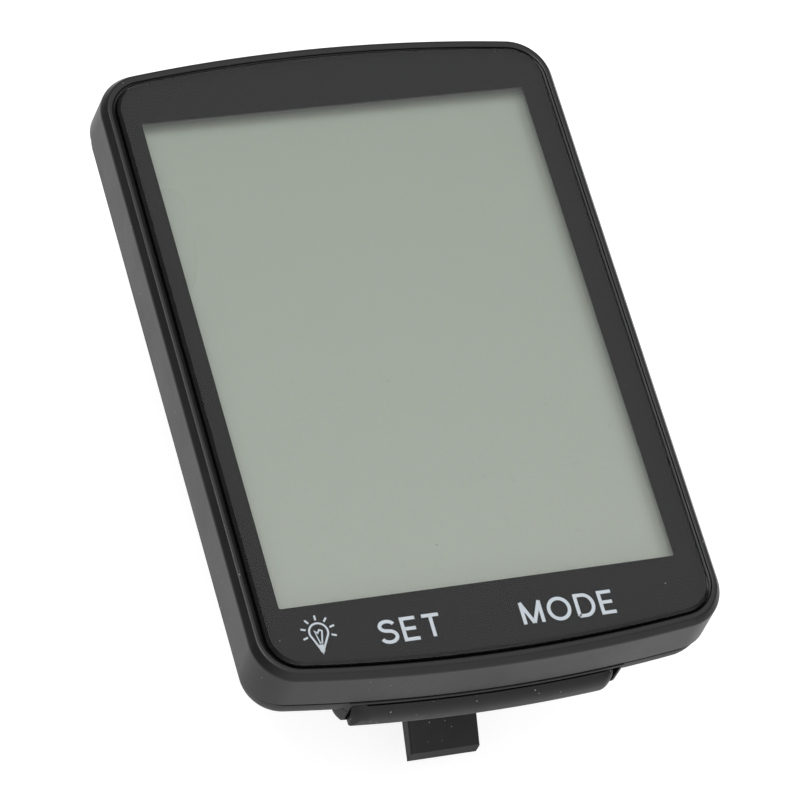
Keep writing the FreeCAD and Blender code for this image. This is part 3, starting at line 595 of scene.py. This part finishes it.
# front shell: one moulded ring whose wall turns into a bevel below the rim
frontShape = {
    "wall": (0.0, 0.0, 0.0, 4.5, 178.0), "crease": (0.01, 0.15, 0.15, 4.8, 178.0),
    "rim": (0.6, 0.65, 0.65, 4.5, 178.0), "well": (1.1, 1.41, 1.23, 4.1, 178.0),
    "ledge": (1.47, 1.75, 1.39, 3.8, 178.0), "window": (3.5, 7.03, 8.97, 0.8, 5000.0),
    "inside": (1.5, 1.5, 1.5, 3.0, 176.5),
    "creaseDrop": 0.9, "grooveDeep": 0.22, "ledgeDrop": 0.05, "seatDrop": 1.53, "web": 1.15,
    "footRound": 0.12, "creaseRound": 0.18, "rimRound": 0.14, "lipRound": 0.2, "grooveRound": 0.1,
    "ledgeRound": 0.08, "windowRound": 0.1,
    "bossPlaces": ((-20.5, 34.0), (-20.5, -33.1), (20.5, 34.0), (20.5, -33.1)),
    "bossOuter": 1.75, "bossHole": 0.7, "bossFoot": 0.02, "bossInto": 0.05,
}


def makeFrontShell(shape):
    edges = edgesOf("front_shell")
    low, high = edges[3:]
    groove = high - shape["grooveDeep"]
    seat = high - shape["seatDrop"]
    web = seat - shape["web"]
    solid = outlineSolid([
        station(edges, shape["wall"], low, shape["footRound"]),
        station(edges, shape["crease"], high - shape["creaseDrop"], shape["creaseRound"]),
        station(edges, shape["rim"], high, shape["rimRound"]),
        station(edges, shape["well"], high, shape["lipRound"]),
        station(edges, shape["well"], groove, shape["grooveRound"]),
        station(edges, shape["ledge"], groove - shape["ledgeDrop"], shape["ledgeRound"]),
        station(edges, shape["ledge"], seat),
        station(edges, shape["window"], seat, shape["windowRound"]),
        station(edges, shape["window"], web, shape["windowRound"]),
        station(edges, shape["inside"], web),
        station(edges, shape["inside"], low),
    ])
    for x, y in shape["bossPlaces"]:
        addTo(solid, pipe(x, y, shape["bossOuter"], shape["bossHole"], low + shape["bossFoot"],
                          web + shape["bossInto"]))
    return meshFrom(solid, "frontShell", "shell_plastic", frontPlastic)


frontShell = makeFrontShell(frontShape)
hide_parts("front_shell")
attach(frontShell, "head")

# lens: clear plate with a small chamfer round its face
lensShape = {"corner": 3.7, "faceCorner": 3.5, "bow": 190.0, "chamfer": 0.3, "chamferRound": 0.06}


def makeLens(shape):
    edges = edgesOf("lens")
    low, high = edges[3:]
    chamfer = shape["chamfer"]
    side = even(0.0, shape["corner"], shape["bow"])
    face = even(chamfer, shape["faceCorner"], shape["bow"])
    plate = [station(edges, side, low), station(edges, side, high - chamfer, shape["chamferRound"]),
             station(edges, face, high)]
    solid = outlineSolid(plate, closed=False)
    return meshFrom(solid, "lens", "lens_acrylic")


lens = makeLens(lensShape)
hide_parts("lens")
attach(lens, "head")

# black print under the lens and up its sides
maskShape = {
    "window": (22.0, 30.72, -27.78, 0.25, 9000.0),  # half width, top, bottom, corner, bow
    "overlap": 0.01, "sheetIn": 0.02,
    "skirtOut": 0.03, "skirtIn": 0.01, "skirtDrop": 0.02, "skirtTop": 28.66,
}
printTop = edgesOf("lens")[3] + maskShape["overlap"]


def makeMask(shape):
    edges = edgesOf("lens")
    corner, bow = lensShape["corner"], lensShape["bow"]
    sheetLow = edgesOf("mask_print")[3]
    sheet = even(shape["sheetIn"], corner, bow)
    solid = outlineSolid([station(edges, sheet, sheetLow), station(edges, sheet, printTop),
                          (*shape["window"], printTop, 0.0), (*shape["window"], sheetLow, 0.0)])
    outer = even(-shape["skirtOut"], corner, bow)
    inner = even(shape["skirtIn"], corner, bow)
    skirtLow = edges[3] - shape["skirtDrop"]
    addTo(solid, outlineSolid([station(edges, outer, skirtLow), station(edges, outer, shape["skirtTop"]),
                               station(edges, inner, shape["skirtTop"]), station(edges, inner, skirtLow)]))
    return meshFrom(solid, "maskSheet", "mask_ink", smooth=False)


maskSheet = makeMask(maskShape)
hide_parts("mask_print")
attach(maskSheet, "head")


def flatPlate(half, top, bottom, low, high, corner, edge, bow=9000.0):
    # thin plate with its edges taken off, in millimetres
    edges = (half, top, bottom)
    rim, face = even(0.0, corner, bow), even(edge, corner, bow)
    return outlineSolid([station(edges, face, low), station(edges, rim, low + edge),
                         station(edges, rim, high - edge), station(edges, face, high)], closed=False)


# display: rear glass, front glass with its contact ledge, and the polariser on top
displayShape = {
    "rearGlass": 1.0, "rearCorner": 0.3, "gap": 0.01, "ledge": 2.0, "edge": 0.06,
    "polariser": 0.15, "polariserIn": 0.5, "polariserCorner": 0.4, "polariserEdge": 0.02, "glue": 0.005,
}


def makeDisplay(shape):
    half, top, bottom, low, high = edgesOf("lcd_panel")
    middle = low + shape["rearGlass"]
    frontTop = high - shape["polariser"]
    corner, edge, margin = shape["rearCorner"], shape["edge"], shape["polariserIn"]
    solid = flatPlate(half, top, bottom + shape["ledge"], low, middle - shape["gap"], corner, edge)
    addTo(solid, flatPlate(half, top, bottom, middle, frontTop, corner, edge))
    addTo(solid, flatPlate(half - margin, top - margin, bottom + shape["ledge"], frontTop + shape["glue"],
                           high, shape["polariserCorner"], shape["polariserEdge"]))
    return meshFrom(solid, "display", "lcd_glass", smooth=False)


display = makeDisplay(displayShape)
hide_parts("lcd_panel")
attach(display, "head")
print("shell, lens and display made")


def ribbon(points, width, low, high, closed=False):
    # stroke of a legend: a flat band that follows the points, in millimetres
    count = len(points)
    left, right = [], []
    for index, (x, y) in enumerate(points):
        before = points[index - 1] if index or closed else None
        after = points[(index + 1) % count] if index < count - 1 or closed else None
        way = Vector((0.0, 0.0))
        if before:
            way += (Vector((x, y)) - Vector(before)).normalized()
        if after:
            way += (Vector(after) - Vector((x, y))).normalized()
        way.normalize()
        edge = (Vector((x, y)) - Vector(before)).normalized() if before else way
        mitre = min(mostMitre, 1 / max(0.5, way.dot(edge)))
        side = Vector((-way.y, way.x)) * width / 2 * mitre
        left.append((x + side.x, y + side.y))
        right.append((x - side.x, y - side.y))
    vertices = []
    for z in (low, high):
        vertices += [(x * mm, y * mm, z * mm) for x, y in left + right]
    faces = []
    upper = 2 * count
    for index in range(count if closed else count - 1):
        after = (index + 1) % count
        faces.append((upper + index, upper + after, upper + count + after, upper + count + index))
        faces.append((index, count + index, count + after, after))
        faces.append((index, after, upper + after, upper + index))
        faces.append((count + index, upper + count + index, upper + count + after, count + after))
    if not closed:
        for index in (0, count - 1):
            faces.append((index, upper + index, upper + count + index, count + index))
    return vertices, faces


def arc(x, y, radiusX, radiusY, start, end, count=steps["arc"]):
    angles = [math.radians(start + (end - start) * step / count) for step in range(count + 1)]
    return [(x + radiusX * math.cos(angle), y + radiusY * math.sin(angle)) for angle in angles]


# plain strokes of the letters, on a cell one high: the letter's width, then its strokes
letters = {
    "S": (0.62, [arc(0.3, 0.74, 0.25, 0.215, 20, 270) + arc(0.3, 0.27, 0.27, 0.25, 88, -160)]),
    "E": (0.6, [[(0.54, 0.97), (0.06, 0.97), (0.06, 0.03), (0.56, 0.03)], [(0.06, 0.51), (0.5, 0.51)]]),
    "T": (0.66, [[(0.02, 0.97), (0.62, 0.97)], [(0.32, 0.97), (0.32, 0.0)]]),
    "M": (0.86, [[(0.06, 0.0), (0.06, 1.0)], [(0.04, 1.0), (0.41, 0.02)], [(0.41, 0.02), (0.78, 1.0)],
                 [(0.76, 1.0), (0.76, 0.0)]]),
    "O": (0.92, [arc(0.44, 0.5, 0.39, 0.47, 0, 345, 27)]),
    "D": (0.76, [[(0.06, 0.03), (0.06, 0.97), (0.32, 0.97)] + arc(0.32, 0.5, 0.36, 0.47, 78, -78)
                 + [(0.32, 0.03), (0.06, 0.03)]]),
}
legendShape = {
    "height": 2.5, "stroke": 0.4, "gap": 0.16, "thick": 0.02, "under": 0.005,
    "stackStep": 0.0015, "stackMost": 0.004,  # strokes that cross end at different heights
    "words": (("SET", -12.2, -5.35, -33.1), ("MODE", 3.4, 13.9, -33.2)),
    "bulb": (-18.55, -30.85), "bulbRadius": 1.0, "fineStroke": 0.22, "filamentStroke": 0.176,
    "neck": ((-0.42, -1.55), (-0.1, -2.35), (0.3, -1.5)),
    "cap": ((-0.12, -1.4), (-0.1, -2.2)), "capStroke": 0.5, "capRise": 0.002, "filamentRise": 0.001,
    "filament": ((-0.12, -1.3), (-0.42, 0.15), (-0.15, -0.1), (0.1, 0.25), (0.38, 0.1), (0.05, -1.3)),
    "rays": (90, 52, 128, 17, 163, -19, 199), "rayStart": 1.35, "rayEnd": 1.9,
}


def addWord(solid, shape, word, start, end, foot, inkLow, inkHigh):
    natural = sum(letters[letter][0] for letter in word) + shape["gap"] * (len(word) - 1)
    stretch = (end - start) / natural
    most = printTop + shape["thick"] + shape["stackMost"]
    x = start
    for letter in word:
        width, strokes = letters[letter]
        for stroke in strokes:
            points = [(x + px * stretch, foot + py * shape["height"]) for px, py in stroke]
            addTo(solid, ribbon(points, shape["stroke"], inkLow, inkHigh, closed=letter == "O"))
            inkHigh += shape["stackStep"] if inkHigh < most else -shape["stackMost"]
        x += (width + shape["gap"]) * stretch
    return inkHigh


def addBulb(solid, shape, inkLow, inkHigh):
    bulbX, bulbY = shape["bulb"]
    radius, fine = shape["bulbRadius"], shape["fineStroke"]
    neck, cap, filament = [[(bulbX + x, bulbY + y) for x, y in shape[line]]
                           for line in ("neck", "cap", "filament")]
    globe = arc(bulbX, bulbY, radius, radius, -35, 215, 30)
    addTo(solid, ribbon([neck[2]] + globe + neck, fine, inkLow, inkHigh))
    addTo(solid, ribbon(cap, shape["capStroke"], inkLow, inkHigh + shape["capRise"]))
    addTo(solid, ribbon(filament, shape["filamentStroke"], inkLow, inkHigh + shape["filamentRise"]))
    for turn in shape["rays"]:
        outX, outY = math.cos(math.radians(turn)), math.sin(math.radians(turn))
        reaches = (radius * shape["rayStart"], radius * shape["rayEnd"])
        ray = [(bulbX + outX * reach, bulbY + outY * reach) for reach in reaches]
        addTo(solid, ribbon(ray, fine, inkLow, inkHigh))


def makeLegends(shape):
    inkLow = printTop - shape["under"]
    inkHigh = printTop + shape["thick"]
    solid = ([], [])
    for word in shape["words"]:
        inkHigh = addWord(solid, shape, *word, inkLow, inkHigh)
    addBulb(solid, shape, inkLow, inkHigh)
    return meshFrom(solid, "legends", "legend_ink", smooth=False)


legends = makeLegends(legendShape)
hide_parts("legend_print")
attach(legends, "head")
print("legends made")


def bend(start, through, end, count):
    # points of a curve that starts, passes through the middle point and ends, without the last one
    control = [2 * m - (a + b) / 2 for a, m, b in zip(start, through, end)]
    points = []
    for step in range(count):
        t = step / count
        points.append(tuple((1 - t) ** 2 * a + 2 * t * (1 - t) * c + t * t * b
                            for a, c, b in zip(start, control, end)))
    return points


# key bar: scooped top, a crease, a full front; its left end is cut off slantwise
keyShape = {
    "bow": 178.0, "facetTop": 1.9, "facetFoot": 0.15, "facetSlope": 0.7, "endRound": 1.5, "endTuck": 0.92,
    "endLift": 0.9, "middleRows": 24, "endRows": 12, "facetGap": 0.3, "foot": 0.1,
    "hub": 1.25, "hubGap": 0.01, "pinHole": 0.82, "frontBack": 2.88, "bodyBack": 4.13, "inset": 0.02,
    "wingHalf": 6.75, "wingStart": 1.0, "wingDeep": 1.3, "wingCorner": 0.2, "wingEdge": 0.05,
    "stemX": 7.5, "stemZ": 20.1, "stemOuter": 0.9, "stemHole": 0.3, "stemInto": 0.05,
}
keyEdges = edgesOf("rocker_key")


def keySection(shape, nose, low, high):
    # how far back and how high, from the back of the top round the front to the back of the foot
    back = nose + shape["frontBack"]
    crease = (nose + 0.95, high - 0.42)
    front = (nose, low + 0.95)
    foot = (nose + 0.35, low - shape["foot"])
    return ([(back, high), (nose + 2.4, high)]
            + bend((nose + 2.2, high - 0.02), (nose + 1.5, high - 0.62), crease, 8)
            + bend(crease, (nose + 0.24, high - 1.2), front, 10)
            + bend(front, (nose + 0.05, low + 0.14), foot, 8)
            + [foot, (back, low - shape["foot"])])


def facetEdge(shape, z):
    # where the slanted facet of the left end meets the front, at height z
    half, top, nose, low, high = keyEdges
    share = (z - low) / (high - low)
    return -half + shape["facetFoot"] + (shape["facetTop"] - shape["facetFoot"]) * share


def keyPoint(shape, x, y, z):
    # the section's point at x, bowed like the body and cut back at both ends
    half, top, nose, low, high = keyEdges
    endRound = shape["endRound"]
    pull = shape["facetSlope"] * max(0.0, facetEdge(shape, z) - x)
    into = max(0.0, (x - (half - endRound)) / endRound)
    turn = 1 - math.sqrt(max(0.0, 1 - into * into))
    pull += endRound * shape["endTuck"] * turn + x * x / (2 * shape["bow"])
    z += shape["endLift"] * turn * (1 - (z - low) / (high - low))
    return x * mm, min(y + pull, nose + shape["frontBack"]) * mm, z * mm


def makeKeyBar(shape):
    half, top, nose, low, high = keyEdges
    pinX, pinY = [(a + b) / 2 / mm for a, b in zip(*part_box("key_pin"))][:2]
    section = keySection(shape, nose, low, high)
    rows = [[keyPoint(shape, -half, y, z) for y, z in section],
            [keyPoint(shape, (facetEdge(shape, z) - half) / 2, y, z) for y, z in section],
            [keyPoint(shape, facetEdge(shape, z), y, z) for y, z in section]]
    start = -half + shape["facetTop"] + shape["facetGap"]
    end = half - shape["endRound"]
    places = [start + (end - start) * step / shape["middleRows"] for step in range(shape["middleRows"] + 1)]
    places += [end + shape["endRound"] * math.sin(math.pi / 2 * step / shape["endRows"])
               for step in range(1, shape["endRows"] + 1)]
    rows += [[keyPoint(shape, x, y, z) for y, z in section] for x in places]
    solid = skin(rows, closed=False)
    addTo(solid, pipe(pinX, pinY, shape["hub"], shape["pinHole"], low + shape["hubGap"],
                      high - shape["hubGap"]))
    bodyBack = nose + shape["bodyBack"]
    stemLong = top - bodyBack + shape["stemInto"]
    for side in (-1, 1):
        wing = flatPlate(shape["wingHalf"], 0.0, -shape["wingDeep"], low + shape["inset"],
                         high - shape["inset"], shape["wingCorner"], shape["wingEdge"])
        wingX = side * (shape["wingHalf"] + shape["wingStart"])
        addTo(solid, ([(x + wingX * mm, y + bodyBack * mm, z) for x, y, z in wing[0]], wing[1]))
        stem = pipe(0.0, 0.0, shape["stemOuter"], shape["stemHole"], 0.0, stemLong)
        stemX, stemY, stemZ = side * shape["stemX"], bodyBack - shape["stemInto"], shape["stemZ"]
        addTo(solid, ([(x + stemX * mm, z + stemY * mm, y + stemZ * mm) for x, y, z in stem[0]], stem[1]))
    return meshFrom(solid, "keyBar", "key_plastic")


keyBar = makeKeyBar(keyShape)
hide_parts("rocker_key")
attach(keyBar, "key")
print("key made")

# a sheet of paper that glows evenly white where the camera sees it; other rays see a painted pool of light
# round the object and towards the front, with painted shade further out
floorLook = {
    "size": 6.0, "drop": 0.03, "tint": (0.42, 0.42, 0.42), "fibre": (0.44, 0.44, 0.44), "fibreScale": 900.0,
    "fibreDetail": 3.0, "shade": (0.02, 0.02, 0.02), "rough": 0.9, "shine": 0.1,
    "glow": 0.84, "glowSide": 0.42, "glowFull": 0.1, "glowEnd": 0.26, "glowFar": 0.08, "glowFront": 0.9,
}
frontFocus = 3.0  # how narrow the bright side in front of the object is


def floorPaper(look):
    material, tree, shader = newMaterial("floorPaper")
    point = objectPoint(tree)
    distance = tree.nodes.new("ShaderNodeVectorMath")
    distance.operation = "LENGTH"
    join(tree, point, distance.inputs[0])
    distance = distance.outputs["Value"]
    toFront = maths(tree, "MULTIPLY", axesOf(tree, point)["Y"], -1.0)
    front = maths(tree, "POWER", maths(tree, "DIVIDE", toFront, distance, clamp=True), frontFocus)
    far = between(tree, front, look["glowFar"], look["glowFront"])
    # painted pool of light: strongest round the object, fading outwards, brighter towards the front
    near = mapRange(tree, distance, look["glowFull"], look["glowEnd"], 1.0, far, smooth=True)
    toCamera = tree.nodes.new("ShaderNodeLightPath").outputs["Is Camera Ray"]
    paper = mixColour(tree, noise(tree, look["fibreScale"], look["fibreDetail"]), look["tint"], look["fibre"])
    lit = maths(tree, "MAXIMUM", near, toCamera)
    # painted shade: away from the pool, rays other than the camera's see the floor dark
    join(tree, mixColour(tree, lit, look["shade"], paper), shader.inputs["Base Color"])
    shader.inputs["Roughness"].default_value = look["rough"]
    shader.inputs["Specular IOR Level"].default_value = look["shine"]
    shader.inputs["Emission Color"].default_value = (1.0, 1.0, 1.0, 1.0)
    glow = between(tree, toCamera, maths(tree, "MULTIPLY", near, look["glowSide"]), look["glow"])
    join(tree, glow, shader.inputs["Emission Strength"])
    return material


floorMesh = bpy.data.meshes.new("floor")
edge = floorLook["size"] / 2
corners = [(-edge, -edge, 0), (edge, -edge, 0), (edge, edge, 0), (-edge, edge, 0)]
floorMesh.from_pydata(corners, [], [(0, 1, 2, 3)])
floorMesh.materials.append(floorPaper(floorLook))
floor = bpy.data.objects.new("floor", floorMesh)
floor.location.z = -floorLook["drop"] * mm
bpy.context.scene.collection.objects.link(floor)

# bright overhead and in front, dimmer near the horizon elsewhere
skyLook = {"overhead": 0.94, "horizon": 0.2, "front": 0.9, "bandLow": 0.52, "bandHigh": 0.72, "backdrop": 1.0}


def studioSky(look):
    world = bpy.data.worlds.new("studio")
    world.use_nodes = True
    tree = world.node_tree
    background = tree.nodes["Background"]
    towards = axesOf(tree, tree.nodes.new("ShaderNodeTexCoord").outputs["Generated"])
    front = maths(tree, "POWER", maths(tree, "MULTIPLY", towards["Y"], -1.0, clamp=True), frontFocus)
    horizon = between(tree, front, look["horizon"], look["front"])
    level = mapRange(tree, towards["Z"], look["bandLow"], look["bandHigh"], horizon, look["overhead"],
                     smooth=True)
    toCamera = tree.nodes.new("ShaderNodeLightPath").outputs["Is Camera Ray"]
    join(tree, between(tree, toCamera, level, look["backdrop"]), background.inputs["Strength"])
    background.inputs["Color"].default_value = (1.0, 1.0, 1.0, 1.0)
    return world


bpy.context.scene.world = studioSky(skyLook)

sunLook = {"strength": 0.9, "spread": 30.0, "towards": (-0.25, 0.25, 0.93)}
sunData = bpy.data.lights.new("softKey", "SUN")
sunData.energy = sunLook["strength"]
sunData.angle = math.radians(sunLook["spread"])
sun = bpy.data.objects.new("softKey", sunData)
sun.rotation_mode = "QUATERNION"
sun.rotation_quaternion = Vector(sunLook["towards"]).to_track_quat("Z", "Y")
bpy.context.scene.collection.objects.link(sun)

cameraLook = {
    "place": (-172.111, -212.515, 438.172), "lens": 210.09, "sensor": 36.0, "nearest": 10.0,
    "right": (0.93139, -0.26202, 0.25270), "up": (0.11285, 0.86782, 0.48390),
    "forward": (0.34609, 0.42218, -0.83784),
}
cameraData = bpy.data.cameras.new("camera")
cameraData.lens = cameraLook["lens"]
cameraData.sensor_width = cameraLook["sensor"]
cameraData.clip_start = cameraLook["nearest"] * mm
camera = bpy.data.objects.new("camera", cameraData)
bpy.context.scene.collection.objects.link(camera)
back = -Vector(cameraLook["forward"])
turn = Matrix((cameraLook["right"], cameraLook["up"], back)).transposed()
camera.matrix_world = Matrix.Translation(Vector(cameraLook["place"]) * mm) @ turn.to_4x4()
bpy.context.scene.camera = camera
bpy.context.scene.view_settings.view_transform = "Standard"
print("stage ready")
